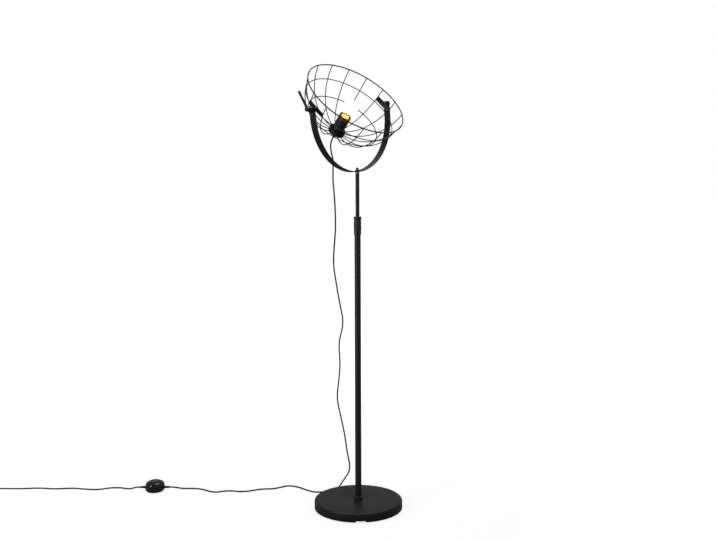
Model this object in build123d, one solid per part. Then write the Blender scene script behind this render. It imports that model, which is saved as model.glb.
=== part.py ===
# Wire cage floor lamp: a round weighted base, a telescopic pole with a twist lock, a strip yoke and
# a bowl of welded wire round one bare globe bulb, with its cord, foot switch and plug.
# Millimetres, +Z up. The origin is the centre of the base's underside and the front is -Y.
import os
from math import acos, asin, atan2, cos, degrees, hypot, pi, radians, sin, sqrt, tan

from build123d import *

os.makedirs("parts", exist_ok=True)

# Fits
running_gap = 0.05        # radial clearance where one piece turns or slides in another
loose_gap = 0.4           # between moving pieces that never touch
seat_gap = 0.3            # between faces that turn past each other

# Base
base_diameter = 280
base_height = 27
base_edge_radius = 5
base_wall = 1.2
pad_thickness = 1.6
pad_margin = 4            # the felt stays this far inside the cover
cover_lift = 0.8          # the cover's lower edge clears the floor by this
weight_margin = 0.5
notch_width = 30
notch_height = 4
notch_turn = 3            # degrees from the front, to the right
bolt_recess_diameter = 44
bolt_recess_depth = 12

# Base bolt
bolt_diameter = 10
bolt_head = 17            # across the flats
bolt_head_height = 6.4
bolt_washer_diameter = 30
bolt_washer_thickness = 2
bolt_grip = 22            # how far the bolt goes up into the pole's foot

# Poles
lower_pole_diameter = 20
lower_pole_wall = 1.5
lower_pole_length = 878
foot_plug_height = 30
foot_collar_diameter = 27
foot_collar_height = 9
upper_pole_diameter = 12.5
upper_pole_wall = 1.0
upper_pole_showing = 141.5  # between the lock collar and the yoke, as photographed
upper_pole_inside = 375   # from the collar's top down
slide_bush_length = 30

# Twist lock
collar_diameter = 23
collar_flare_diameter = 26
collar_flare_height = 9
collar_length = 59
collar_overlap = 35       # the collar's length below the top of the lower pole
collet_spigot = 20        # the collet's length inside the lower pole
collet_flange = 3
collet_cone_height = 12
collet_cone_top = 15.5
collet_slot = 1.2
collet_slots = 4

# Pole tip and yoke seat
tip_plug_length = 25
tip_flange = 3
stud_diameter = 6
seat_washer_diameter = 15
seat_washer_thickness = 1.2
cap_nut_flats = 10
cap_nut_height = 4
cap_nut_dome = 4

# Yoke
bowl_to_yoke = 8.5        # from the ribs' middle to the strip's middle
yoke_width = 24
yoke_thickness = 3
yoke_arm = 30             # from the half circle's ends up to the pivot
yoke_tail = 10            # the strip's length past the pivot
yoke_corner = 3
yoke_lean = 8.0           # degrees, to the near arm, as the strip sits on its bolt
yoke_turn = 48.5          # degrees, the pivot's line from +X in the rest pose

# Cage: depths are measured from the rim's plane along the bowl's axis
cage_tilt = 44.6          # degrees, the opening from the yoke's own upright in the rest pose
bowl_radius = 169         # of the ribs' middle
bowl_centre_rise = 17.5   # the sphere's centre above the rim's plane
pivot_depth = 35
upper_ring_depth = 47
lower_ring_depth = 96
rib_count = 16
rim_wire = 4
cage_wire = 3
weld_gap = 0.05
plate_width = 16
plate_thickness = 2.5

# Pivots
pivot_stud_diameter = 8
pivot_shoulder_diameter = 14
pivot_washer_diameter = 20
pivot_washer_thickness = 0.8
pivot_thread_length = 12
lever_hub_diameter = 17   # at the arm, tapering to the screw's end
lever_hub_end = 13.5
lever_hub_length = 24
lever_length = 66
lever_root = 9.5
lever_tip = 7
lever_rise = 7            # how far the grip's end stands out past its root
lever_lean = -22          # degrees, from the yoke's upright to the front
lever_screw_diameter = 8
lever_screw_head = 3
lever_insert_wall = 1.5
pivot_nut_flats = 13
pivot_nut_height = 7
pivot_nut_dome = 5

# Holder
cup_diameter = 56
cup_height = 17
cup_rim_rise = 10       # from the ribs' ends up to the cup's rim
cup_wall = 1.5
cup_edge = 4
holder_diameter = 39.5
holder_length = 70.5
holder_wall = 2.4
holder_floor = 4
holder_notches = 8
holder_notch_depth = 2.5
nipple_diameter = 10
nipple_bore = 6
nipple_length = 22
nipple_showing = 6        # below the cup, inside the cord grip
nipple_nut_flats = 14
nipple_nut_height = 3
socket_bore = 27.0
socket_wall = 0.6
socket_length = 24
socket_top_gap = 3        # from the holder's rim down to the brass thread
core_diameter = 30
core_height = 9

# Bulb
globe_diameter = 46
globe_rise = 35           # from the cap's top to the globe's centre
bulb_wall = 1.0
bulb_neck_diameter = 24
bulb_neck_inside = 7      # of the glass neck, cemented into the cap
bulb_cap_diameter = 26.2
bulb_cap_length = 22
bulb_tip_diameter = 10
bulb_tip_length = 3

# Cord, its grip, switch and plug
cord_diameter = 5
grip_diameter = 12
grip_tip_diameter = 8
grip_length = 17
neck_cut_radius = 176.5   # about the pivot's line, where the cord passes from cage to yoke
neck_cut_height = 1010    # where the cord passes from yoke to upper pole
switch_x, switch_y = -690, 162
switch_cord_height = 13
switch_diameter = 64
switch_height = 33
switch_base_height = 9
switch_base_edge = 7
switch_wall = 2
switch_edge = 9
switch_button_diameter = 36
switch_button_proud = 3
switch_travel = 2
switch_relief_length = 18
switch_relief_diameter = 9
coil_x, coil_y = -1328, 152
coil_radius = 34
coil_pitch = 5.6
coil_rise = 5.45
coil_half_turns = 5       # in each of the two layers
coil_tail = 40            # of straight cord between the coil and the plug
plug_width = 35
plug_thickness = 13.8
plug_length = 34
plug_face_length = 12     # of even section behind the pins
plug_relief_length = 22
plug_relief_diameter = 8
pin_diameter = 4
pin_length = 19
pin_spacing = 18.6


def save(name, *solids):
    """Writes one node, of one solid or of several separate ones."""
    node = solids[0] if len(solids) == 1 else Compound(children=list(solids))
    node.label = name
    export_step(node, f"parts/{name}.step")


def rod(diameter, length, start=0):
    """A round bar up Z from start."""
    return Pos(0, 0, start) * Cylinder(diameter / 2, length, align=on_floor)


def tube(outer, inner, length, start=0):
    return rod(outer, length, start) - rod(inner, length, start)


def hexagon(flats, height, start=0):
    return Pos(0, 0, start) * extrude(RegularPolygon(flats / 2, 6, major_radius=False), height)


def cone(low, high, height, start=0):
    """A round taper up Z, given its two diameters."""
    return Pos(0, 0, start) * Cone(low / 2, high / 2, height, align=on_floor)


def cap_nut(flats, height, dome, bore):
    """A domed nut standing on z = 0, with its blind hole."""
    ball = Pos(0, 0, height) * Sphere(flats / 2 - 0.3)
    top = ball & rod(flats, dome, height)
    return hexagon(flats, height) + top - rod(bore, height + dome * 0.4)


def along_x(shape, side):
    """Lays a piece that was made up Z out along the pivot's line, to the left or right."""
    return Rot(0, 90 * side, 0) * shape


on_floor = (Align.CENTER, Align.CENTER, Align.MIN)

# ---- Base
def make_base():
    outer = rod(base_diameter, base_height)
    outer = fillet(outer.edges().sort_by(Axis.Z)[-1], base_edge_radius)
    hollow = rod(base_diameter - 2 * base_wall, base_height - base_wall)
    hollow = fillet(hollow.edges().sort_by(Axis.Z)[-1], base_edge_radius - base_wall)
    notch = Rot(0, 0, notch_turn) * Pos(0, -base_diameter / 2, 0) * Box(
        notch_width, base_wall * 8, 2 * (cover_lift + notch_height))
    bolt_hole = rod(bolt_diameter + 2 * running_gap, base_height)
    cover = outer - hollow - rod(base_diameter, cover_lift) - notch - bolt_hole
    save("base_cover", cover)

    weight_top = base_height - base_wall
    weight_diameter = base_diameter - 2 * (base_wall + weight_margin)
    weight = rod(weight_diameter, weight_top - pad_thickness, pad_thickness)
    weight = fillet(weight.edges().sort_by(Axis.Z)[-1], base_edge_radius)
    channel_end = sqrt(bolt_recess_diameter**2 - notch_width**2) / 2
    channel_middle = (base_diameter / 2 + channel_end) / 2
    channel = Rot(0, 0, notch_turn) * Pos(0, -channel_middle, 0) * Box(
        notch_width, base_diameter / 2 - channel_end, 2 * (cover_lift + notch_height))
    recess = rod(bolt_recess_diameter, bolt_recess_depth, pad_thickness)
    save("base_weight", weight - channel - recess - bolt_hole)

    pad = rod(base_diameter - 2 * (base_wall + pad_margin), pad_thickness)
    save("base_pad", pad - channel)

    recess_top = pad_thickness + bolt_recess_depth
    washer_start = recess_top - bolt_washer_thickness
    save("base_washer", tube(bolt_washer_diameter, bolt_diameter + 2 * running_gap,
                             bolt_washer_thickness, washer_start))
    head = hexagon(bolt_head, bolt_head_height, washer_start - bolt_head_height)
    shank = rod(bolt_diameter, base_height + bolt_grip - washer_start, washer_start)
    save("base_bolt", head + shank)


# ---- Lower pole and its foot
foot_top = base_height
lower_pole_bore = lower_pole_diameter - 2 * lower_pole_wall
lower_pole_top = foot_top + lower_pole_length


def make_lower_pole():
    save("lower_pole", tube(lower_pole_diameter, lower_pole_bore, lower_pole_length, foot_top))
    plug = rod(lower_pole_bore, foot_plug_height, foot_top)
    save("foot_plug", plug - rod(bolt_diameter + 2 * running_gap, foot_plug_height, foot_top))
    ring = rod(foot_collar_diameter, foot_collar_height, foot_top)
    ring = fillet(ring.edges().sort_by(Axis.Z)[-1], (foot_collar_diameter - lower_pole_diameter) / 4)
    save("foot_collar", ring - rod(lower_pole_diameter, foot_collar_height, foot_top))


# ---- Twist lock
collar_bottom = lower_pole_top - collar_overlap
collar_top = collar_bottom + collar_length
collet_bore = upper_pole_diameter + 2 * running_gap


def make_twist_lock():
    flange_top = lower_pole_top + collet_flange
    spigot = rod(lower_pole_bore, collet_spigot, lower_pole_top - collet_spigot)
    flange = rod(lower_pole_diameter, collet_flange, lower_pole_top)
    jaws = cone(lower_pole_diameter - 1, collet_cone_top, collet_cone_height, flange_top)
    collet = spigot + flange + jaws
    collet_length = collet_spigot + collet_flange + collet_cone_height
    collet -= rod(collet_bore, collet_length, lower_pole_top - collet_spigot)
    slot = Pos(0, 0, flange_top) * Box(
        lower_pole_diameter, collet_slot, collet_cone_height, align=on_floor)
    for k in range(collet_slots // 2):
        collet -= Rot(0, 0, k * 360 / collet_slots) * slot
    save("lock_collet", collet)

    flare_start = collar_top - collar_flare_height
    collar = rod(collar_diameter, collar_length - collar_flare_height, collar_bottom)
    collar += cone(collar_diameter, collar_flare_diameter, collar_flare_height - 1.5, flare_start)
    collar += rod(collar_flare_diameter, 1.5, collar_top - 1.5)
    bore_diameter = lower_pole_diameter + 2 * running_gap
    bore = rod(bore_diameter, collar_overlap + collet_flange + seat_gap, collar_bottom)
    socket = cone(bore_diameter, collet_cone_top + 2 * loose_gap, collet_cone_height + 1,
                  flange_top + seat_gap)
    mouth = rod(upper_pole_diameter + 2 * loose_gap, collar_length, collar_bottom)
    save("lock_collar", collar - bore - socket - mouth)


# ---- Upper pole
upper_pole_bottom = collar_top - upper_pole_inside
upper_pole_top = collar_top + upper_pole_showing - tip_flange
upper_pole_bore = upper_pole_diameter - 2 * upper_pole_wall
seat_height = upper_pole_top + tip_flange
nut_seat = seat_height + 2 * seat_gap + 2 * seat_washer_thickness + 1.5 * yoke_thickness
stud_top = nut_seat + cap_nut_height


def make_upper_pole():
    save("upper_pole", tube(upper_pole_diameter, upper_pole_bore,
                            upper_pole_top - upper_pole_bottom, upper_pole_bottom))
    bush = rod(lower_pole_bore - 2 * running_gap, slide_bush_length + 3, upper_pole_bottom - 3)
    bush -= rod(upper_pole_diameter, slide_bush_length, upper_pole_bottom)
    save("slide_bush", bush - rod(upper_pole_bore, 3, upper_pole_bottom - 3))
    tip = rod(upper_pole_bore, tip_plug_length, upper_pole_top - tip_plug_length)
    tip += rod(upper_pole_diameter, tip_flange, upper_pole_top)
    tip += rod(stud_diameter, stud_top - seat_height, seat_height)
    save("pole_tip", tip)


# ---- Yoke: made with the middle of the strip's lowest point on z = 0 and the pivot's line along X
yoke_radius = bowl_radius + bowl_to_yoke
pivot_rise = yoke_radius + yoke_arm
strip_inner = yoke_radius - yoke_thickness / 2
strip_outer = yoke_radius + yoke_thickness / 2
lower_washer_top = seat_height + seat_gap + seat_washer_thickness
strip_middle_height = lower_washer_top + yoke_thickness / 2
head_place = Pos(0, 0, strip_middle_height) * Rot(0, 0, yoke_turn)
yoke_place = head_place * Rot(0, -yoke_lean, 0)
pivot_place = yoke_place * Pos(0, 0, pivot_rise)
cage_place = pivot_place * Rot(cage_tilt, 0, 0)


def strip_band(inner, outer):
    """The yoke's U between two radii, across its whole width."""
    ring = Circle(outer) - Circle(inner)
    half = ring & Pos(0, -outer) * Rectangle(2 * outer, 2 * outer)
    arm_length = yoke_arm + yoke_tail
    arms = [Pos(side * (inner + outer) / 2, arm_length / 2) * Rectangle(outer - inner, arm_length)
            for side in (-1, 1)]
    outline = Plane.XZ * (Pos(0, yoke_radius) * (half + arms))
    return extrude(outline, yoke_width / 2, both=True)


def make_yoke():
    band = strip_band(strip_inner, strip_outer)
    ends = [e for e in band.edges().filter_by(Axis.X)
            if e.center().Z > pivot_rise and abs(e.length - yoke_thickness) < 0.01]
    band = fillet(ends, yoke_corner)
    pivot_holes = Pos(0, 0, pivot_rise) * Rot(0, 90, 0) * Cylinder(
        pivot_stud_diameter / 2 + running_gap, 3 * yoke_radius)
    stud_hole = Rot(0, yoke_lean, 0) * Cylinder(stud_diameter / 2 + loose_gap, 8 * yoke_thickness)
    save("yoke", yoke_place * (band - pivot_holes - stud_hole))

    # The two seat washers are tapered, so that the strip leans on its upright bolt.
    bore = rod(stud_diameter + 2 * loose_gap, 60, -30)
    leaning = Rot(0, -yoke_lean, 0)
    around_strip = leaning * Pos(0, 0, yoke_radius) * Rot(90, 0, 0)
    under = rod(seat_washer_diameter, yoke_thickness, -yoke_thickness / 2 - seat_washer_thickness)
    under -= around_strip * Cylinder(strip_outer, 4 * yoke_width) + bore
    over = rod(seat_washer_diameter, yoke_thickness + seat_washer_thickness)
    over = over & around_strip * Cylinder(strip_inner, 4 * yoke_width)
    save("seat_washer_lower", head_place * under)
    save("seat_washer_upper", head_place * (over - bore))

    nut = cap_nut(cap_nut_flats, cap_nut_height, cap_nut_dome, stud_diameter + 2 * running_gap)
    save("yoke_cap_nut", Pos(0, 0, nut_seat) * nut)


# ---- Cage: made with the pivot's line along X through the origin and the opening up Z
rim_z = pivot_depth
sphere_z = rim_z + bowl_centre_rise
rim_radius = sqrt(bowl_radius**2 - bowl_centre_rise**2)
cup_radius = cup_diameter / 2
rib_end_radius = cup_radius + weld_gap


def at_depth(depth):
    """The ribs' middle line at a depth: its radius and its z."""
    return sqrt(bowl_radius**2 - (depth + bowl_centre_rise) ** 2), rim_z - depth


# A rib follows the sphere to the lower ring and then a tighter arc that ends level at the cup.
rib_knee = at_depth(lower_ring_depth)
knee_angle = asin(rib_knee[0] / bowl_radius)
tight_radius = (rib_knee[0] - rib_end_radius) / sin(knee_angle)
rib_end_z = rib_knee[1] - tight_radius * (1 - cos(knee_angle))


def ring_of_wire(radius, z, wire):
    return Pos(0, 0, z) * Torus(radius, wire / 2)


def make_cage():
    save("cage_rim", cage_place * ring_of_wire(rim_radius, rim_z, rim_wire))
    inside = bowl_radius - cage_wire - weld_gap
    for name, depth in (("cage_upper_ring", upper_ring_depth), ("cage_lower_ring", lower_ring_depth)):
        radius, z = at_depth(depth)
        share = inside / bowl_radius
        save(name, cage_place * ring_of_wire(radius * share, sphere_z + (z - sphere_z) * share, cage_wire))

    top = rim_z - (rim_wire / 2 + weld_gap) - 0.2
    start = (sqrt(bowl_radius**2 - (sphere_z - top) ** 2), top)
    start_angle = atan2(start[1] - sphere_z, start[0])
    half_way = (start_angle + knee_angle - pi / 2) / 2
    middle = (bowl_radius * cos(half_way), sphere_z + bowl_radius * sin(half_way))
    upper = ThreePointArc((start[0], 0, start[1]), (middle[0], 0, middle[1]), (rib_knee[0], 0, rib_knee[1]))
    centre = (rib_end_radius, rib_end_z + tight_radius)
    tight_middle = (centre[0] + tight_radius * sin(knee_angle / 2), 0,
                    centre[1] - tight_radius * cos(knee_angle / 2))
    lower = ThreePointArc((rib_knee[0], 0, rib_knee[1]), tight_middle, (rib_end_radius, 0, rib_end_z))
    path = Wire([upper.edge(), lower.edge()])
    section = Plane(origin=path @ 0, z_dir=path % 0) * Circle(cage_wire / 2)
    rib = sweep(section, path)
    ribs = [cage_place * Rot(0, 0, (k + 0.5) * 360 / rib_count) * rib for k in range(rib_count)]
    save("cage_ribs", *ribs)


# The two plates lie flat on a pair of neighbouring ribs, outside them, square to the sphere.
plate_angle = acos(sphere_z / bowl_radius)
half_bay = radians(180 / rib_count)
plate_inner = bowl_radius * (sin(plate_angle) ** 2 * cos(half_bay) + cos(plate_angle) ** 2)
plate_inner += cage_wire / 2 + weld_gap
plate_length = 2 * bowl_radius * sin(plate_angle) * sin(half_bay) + cage_wire


def plate_frame(side):
    """On a plate's inner face, with +Z outwards, for the left (-1) or right (+1) pivot."""
    return Pos(0, 0, sphere_z) * Rot(0, side * (180 - degrees(plate_angle)), 0) * Pos(0, 0, plate_inner)


def make_pivots():
    stud_hole_radius = pivot_stud_diameter / 2 + running_gap
    shoulder_end = strip_inner - pivot_washer_thickness - seat_gap
    arm_face = strip_outer + seat_gap
    for side, name in ((-1, "left"), (1, "right")):
        plate = Box(plate_width, plate_length, plate_thickness, align=on_floor)
        plate = fillet(plate.edges().filter_by(Axis.Z), 2)
        save(f"pivot_plate_{name}", cage_place * plate_frame(side) * plate)

        reach = pivot_thread_length + arm_face + pivot_washer_thickness
        shoulder = along_x(rod(pivot_shoulder_diameter, 60, shoulder_end - 60), side)
        behind_plate = plate_frame(side) * Pos(0, 0, plate_thickness + weld_gap - 100) * Box(
            200, 200, 100, align=on_floor)
        journal = along_x(rod(pivot_stud_diameter, reach - shoulder_end, shoulder_end), side)
        save(f"pivot_stud_{name}", cage_place * (shoulder - behind_plate + journal))

        washer = tube(pivot_washer_diameter, 2 * stud_hole_radius, pivot_washer_thickness)
        inner = along_x(Pos(0, 0, shoulder_end) * washer, side)
        outer = along_x(Pos(0, 0, arm_face) * washer, side)
        save(f"pivot_washers_{name}", cage_place * inner, cage_place * outer)

    nut_place = arm_face + pivot_washer_thickness
    nut = cap_nut(pivot_nut_flats, pivot_nut_height, pivot_nut_dome, pivot_stud_diameter)
    nut -= rod(pivot_stud_diameter, pivot_thread_length)
    save("pivot_nut", cage_place * along_x(Pos(0, 0, nut_place) * nut, 1))


# ---- Clamp lever, on the left pivot: made up Z and then laid along the pivot's line
lever_start = strip_outer + seat_gap + pivot_washer_thickness + seat_gap
lever_place = pivot_place * Rot(lever_lean, 0, 0)


def make_lever():
    insert_diameter = pivot_stud_diameter + 2 * lever_insert_wall
    hub = cone(lever_hub_diameter, lever_hub_end, lever_hub_length)
    hub = fillet(hub.edges().sort_by(Axis.Z)[-1], 1.5)
    root = Pos(0, 0, lever_hub_length - lever_root / 2 - 2)
    path_end = (lever_length, lever_rise)
    lean = degrees(atan2(lever_rise, lever_length))
    reach = hypot(*path_end)
    arm = Rot(0, 90 - lean, 0) * cone(lever_root, lever_tip, reach)
    ball = Rot(0, 90 - lean, 0) * Pos(0, 0, reach) * Sphere(lever_tip / 2)
    insert_length = lever_hub_length - lever_screw_head
    bore = rod(insert_diameter, insert_length)
    screw_seat = rod(lever_screw_diameter, lever_screw_head, insert_length)
    handle = hub + root * (arm + ball) - bore - screw_seat
    insert = rod(insert_diameter, insert_length) - rod(
        pivot_stud_diameter + 2 * running_gap, pivot_thread_length + 1)
    screw = rod(lever_screw_diameter, lever_screw_head, insert_length)
    lay = lever_place * Pos(-lever_start, 0, 0) * Rot(0, -90, 0)
    for name, piece in (("lever_handle", handle), ("lever_insert", insert), ("lever_screw", screw)):
        save(name, lay * piece)


# ---- Holder and bulb, on the cage's axis
cup_top = rib_end_z + cup_rim_rise
cup_bottom = cup_top - cup_height


def bulb_form(cap_top, inset):
    """The globe and its neck, open below, at a distance inside the glass's outer face."""
    start, globe_z = cap_top - bulb_neck_inside, cap_top + globe_rise
    globe_radius, neck_radius = globe_diameter / 2 - inset, bulb_neck_diameter / 2 - inset
    join_radius = globe_radius * 0.86
    join_z = globe_z - sqrt(globe_radius**2 - join_radius**2)
    neck = Polyline((0, start), (neck_radius, start), (neck_radius, cap_top + 2), (join_radius, join_z))
    crown = ThreePointArc((join_radius, join_z), (globe_radius, globe_z), (0, globe_z + globe_radius))
    outline = make_face(Plane.XZ * (neck + crown + Line(crown @ 1, (0, start))))
    return revolve(outline, Axis.Z)


def make_holder():
    cup = rod(cup_diameter, cup_height, cup_bottom)
    cup = fillet(cup.edges().sort_by(Axis.Z)[0], cup_edge)
    cup -= rod(cup_diameter - 2 * cup_wall, cup_height, cup_bottom + cup_wall)
    cup -= rod(nipple_diameter + 2 * running_gap, 2 * cup_wall, cup_bottom - cup_wall / 2)
    save("holder_cup", cage_place * cup)

    holder_bottom = cup_bottom + cup_wall
    holder_top = holder_bottom + holder_length
    shell = rod(holder_diameter, holder_length, holder_bottom)
    shell -= rod(holder_diameter - 2 * holder_wall, holder_length, holder_bottom + holder_floor)
    shell -= rod(nipple_diameter + 2 * running_gap, 3 * holder_floor, holder_bottom - holder_floor)
    notch = Pos(holder_diameter / 2, 0, holder_top) * Box(3 * holder_wall, 4, 2 * holder_notch_depth)
    for k in range(holder_notches):
        shell -= Rot(0, 0, (k + 0.5) * 360 / holder_notches) * notch
    save("holder_shell", cage_place * shell)

    nipple = tube(nipple_diameter, nipple_bore, nipple_length, cup_bottom - nipple_showing)
    save("holder_nipple", cage_place * nipple)
    nut = hexagon(nipple_nut_flats, nipple_nut_height, holder_bottom + holder_floor)
    nut -= rod(nipple_diameter + 2 * running_gap, nipple_nut_height, holder_bottom + holder_floor)
    save("holder_nut", cage_place * nut)

    core_start = holder_bottom + holder_floor + nipple_nut_height + 9
    thread_top = holder_top - socket_top_gap
    thread_bottom = thread_top - socket_length
    core = rod(core_diameter, thread_bottom - core_start, core_start)
    core += tube(holder_diameter - 2 * holder_wall, core_diameter - 2, core_height / 2, core_start)
    save("holder_core", cage_place * core)
    thread = tube(socket_bore + 2 * socket_wall, socket_bore, socket_length, thread_bottom)
    save("holder_thread", cage_place * thread)

    cap_bottom = thread_bottom + bulb_tip_length
    cap_top = cap_bottom + bulb_cap_length
    glass = bulb_form(cap_top, 0) - bulb_form(cap_top, bulb_wall)
    save("bulb_glass", cage_place * glass)
    neck_hole = rod(
        bulb_neck_diameter + 2 * running_gap, bulb_cap_length - bulb_wall, cap_bottom + bulb_wall)
    save("bulb_cap", cage_place * (rod(bulb_cap_diameter, bulb_cap_length, cap_bottom) - neck_hole))
    save("bulb_tip", cage_place * rod(bulb_tip_diameter, bulb_tip_length, thread_bottom))

    grip = cone(grip_tip_diameter, grip_diameter, grip_length - 8, cup_bottom - grip_length)
    grip += hexagon(grip_diameter, 8, cup_bottom - 8)
    grip -= rod(nipple_diameter, nipple_showing, cup_bottom - nipple_showing)
    grip -= rod(cord_diameter, grip_length, cup_bottom - grip_length)
    save("cord_grip", cage_place * grip)


# ---- Cord
cord_radius = cord_diameter / 2
grip_exit = cage_place * Pos(0, 0, cup_bottom - grip_length)
cord_exit = grip_exit.position
cord_way_out = Vector(cord_exit) - Vector((grip_exit * Pos(0, 0, 1)).position)

# The cord's route, chosen by hand: down from the cage behind the yoke, to the floor behind the base
neck_route = [
    cord_exit, cord_exit + cord_way_out * 20, (-87, 60.5, 1145), (-80, 61, 1119), (-79.5, 64, 1088),
    (-80.5, 67.4, 1046), (-76.5, 70.5, 1010),
]
hang_route = [
    (-76.5, 70.5, 1010), (-72.5, 73.9, 970), (-71, 79, 905), (-77, 86, 835), (-81, 91, 770),
    (-71, 96, 707), (-61, 101, 645), (-46, 107, 574), (-65, 112, 510), (-59, 119, 440),
    (-64, 124, 380), (-72, 129, 320), (-58, 134, 258), (-45, 140, 193), (-37, 145, 132),
    (-22, 149, 78), (-48, 152, 36), (-68, 154, 9), (-88, 150, 2.5), (-112, 139, 2.5),
]
floor_route = [
    (-112, 139, 2.5), (-144, 124.3, 2.5), (-176, 146, 2.5), (-204, 186, 2.5), (-244, 208, 2.5),
    (-284, 171, 2.5), (-332, 171, 2.5), (-386, 139, 2.5), (-442, 157, 2.5), (-484, 133, 2.5),
    (-530, 170, 2.5), (-563, 180, 2.5), (-592, 177, 2.5), (-610, 167, 8), (-627, 162, 13), (-641, 162, 13),
]
lead_route = [
    (-739, 162, 13), (-753, 162, 13), (-769, 167, 7), (-786, 175, 2.5), (-813, 189, 2.5),
    (-850, 188, 2.5), (-884, 168, 2.5), (-927, 173, 2.5), (-978, 187, 2.5), (-1035, 176, 2.5),
    (-1092, 189, 2.5), (-1150, 181, 2.5), (-1206, 183, 2.5), (-1266, 186, 2.5), (-1328, 186, 2.5),
]


def round_off(route):
    """Runs joined by tangent arcs, each as large as its two runs allow."""
    points = [Vector(p) for p in route]
    runs = [(b - a).length for a, b in zip(points, points[1:])]
    radii = []
    for k in range(1, len(points) - 1):
        turn = radians((points[k] - points[k - 1]).get_angle(points[k + 1] - points[k]))
        radii.append(0.45 * min(runs[k - 1], runs[k]) / tan(turn / 2))
    print("cord bends", [round(r) for r in radii])
    return FilletPolyline(*points, radius=radii).wire()


def sweep_cord(name, path):
    section = Plane(origin=path @ 0, z_dir=path % 0) * Circle(cord_radius)
    cord = sweep(section, path)
    print(name, "length", round(path.length, 1), "volume against section times length",
          round(cord.volume / (pi * cord_radius**2 * path.length), 5))
    return cord


def make_cord():
    neck = sweep_cord("cord_neck", round_off(neck_route))
    # Round the pivot's line, so that the cage's end of the cord turns free of the yoke's
    pivot_cylinder = pivot_place * Rot(0, 90, 0)
    inner = pivot_cylinder * Cylinder(neck_cut_radius, 4 * yoke_radius)
    outer = pivot_cylinder * Cylinder(neck_cut_radius + loose_gap, 4 * yoke_radius)
    below = Pos(0, 0, neck_cut_height + loose_gap - 100) * Box(400, 400, 100, align=on_floor)
    save("cord_top", neck & inner)
    save("cord_neck", neck - outer - below)
    hang = sweep_cord("cord_hang", round_off(hang_route))
    above = Pos(0, 0, neck_cut_height) * Box(400, 400, 100, align=on_floor)
    gap = Plane(origin=hang_route[-1], z_dir=Vector(hang_route[-1]) - Vector(hang_route[-2]))
    end = gap * Pos(0, 0, -loose_gap) * Box(30, 30, 30, align=on_floor)
    save("cord_hang", hang - above - end)
    save("cord_floor", sweep_cord("cord_floor", round_off(floor_route)))
    save("cord_lead", sweep_cord("cord_lead", round_off(lead_route)))


def coil_edges():
    """Two layers of half circles: inwards on the floor, up, and outwards on top to the side."""
    low, high = cord_radius, cord_radius + coil_rise
    y, edges = coil_y + coil_radius, []
    radii = [coil_radius - k * coil_pitch / 2 for k in range(coil_half_turns)]
    side = 1
    for radius in radii:
        far = (coil_x - side * radius, y - side * radius, low)
        edges.append(ThreePointArc((coil_x, y, low), far, (coil_x, y - 2 * side * radius, low)))
        y -= 2 * side * radius
        side = -side
    inner = radii[-1] - coil_pitch / 2
    centre_y = y - side * inner
    crest = (coil_x - side * sqrt(inner**2 + (coil_rise / 2) ** 2), centre_y, (low + high) / 2)
    edges.append(TangentArc((coil_x, y, low), crest, tangent=edges[-1] % 1))
    y -= 2 * side * inner
    edges.append(TangentArc(crest, (coil_x, y, high), tangent=edges[-1] % 1))
    side = -side
    for radius in reversed(radii):
        far = (coil_x - side * radius, y - side * radius, high)
        if radius == coil_radius:
            edges.append(TangentArc((coil_x, y, high), far, tangent=edges[-1] % 1))
            return edges, far
        edges.append(ThreePointArc((coil_x, y, high), far, (coil_x, y - 2 * side * radius, high)))
        y -= 2 * side * radius
        side = -side


def least_gap(path, steps):
    """The least distance between parts of the coil's tube that are more than a third of a turn apart."""
    points = [path @ (k / steps) for k in range(steps + 1)]
    apart = int(steps * 2 * coil_radius / path.length) + 1
    return min((a - b).length for k, a in enumerate(points) for b in points[k + apart:]) - cord_diameter


def make_coil_and_plug():
    edges, (tail_x, tail_y, high) = coil_edges()
    plug_z = plug_thickness / 2
    tail_end = tail_y - coil_tail
    tail = FilletPolyline(
        (tail_x, tail_y, high), (tail_x, tail_end + 28, high),
        (tail_x, tail_end + 12, plug_z), (tail_x, tail_end, plug_z), radius=60)
    path = Wire([e.edge() for e in edges] + list(tail.edges()))
    save("cord_coil", sweep_cord("cord_coil", path))
    print("coil's least gap to itself", round(least_gap(path, 400), 2))

    start = Pos(tail_x, tail_end, plug_z) * Rot(90, 0, 0)
    relief = cone(plug_relief_diameter, plug_relief_diameter + 3, plug_relief_length)
    nose = RectangleRounded(plug_relief_diameter + 6, plug_relief_diameter + 4, 3)
    face = RectangleRounded(plug_width, plug_thickness, 4)
    face_start = plug_relief_length + plug_length - plug_face_length
    body = loft([Pos(0, 0, plug_relief_length) * nose, Pos(0, 0, face_start) * face])
    body += extrude(Pos(0, 0, face_start) * face, plug_face_length)
    save("plug_body", start * (relief + body))
    pins = [start * Pos(side * pin_spacing / 2, 0, 0) * rod(
        pin_diameter, pin_length, plug_relief_length + plug_length) for side in (-1, 1)]
    pins = [fillet(p.edges().sort_by(Axis.Y)[0], 1) for p in pins]
    save("plug_pins", *pins)


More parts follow.
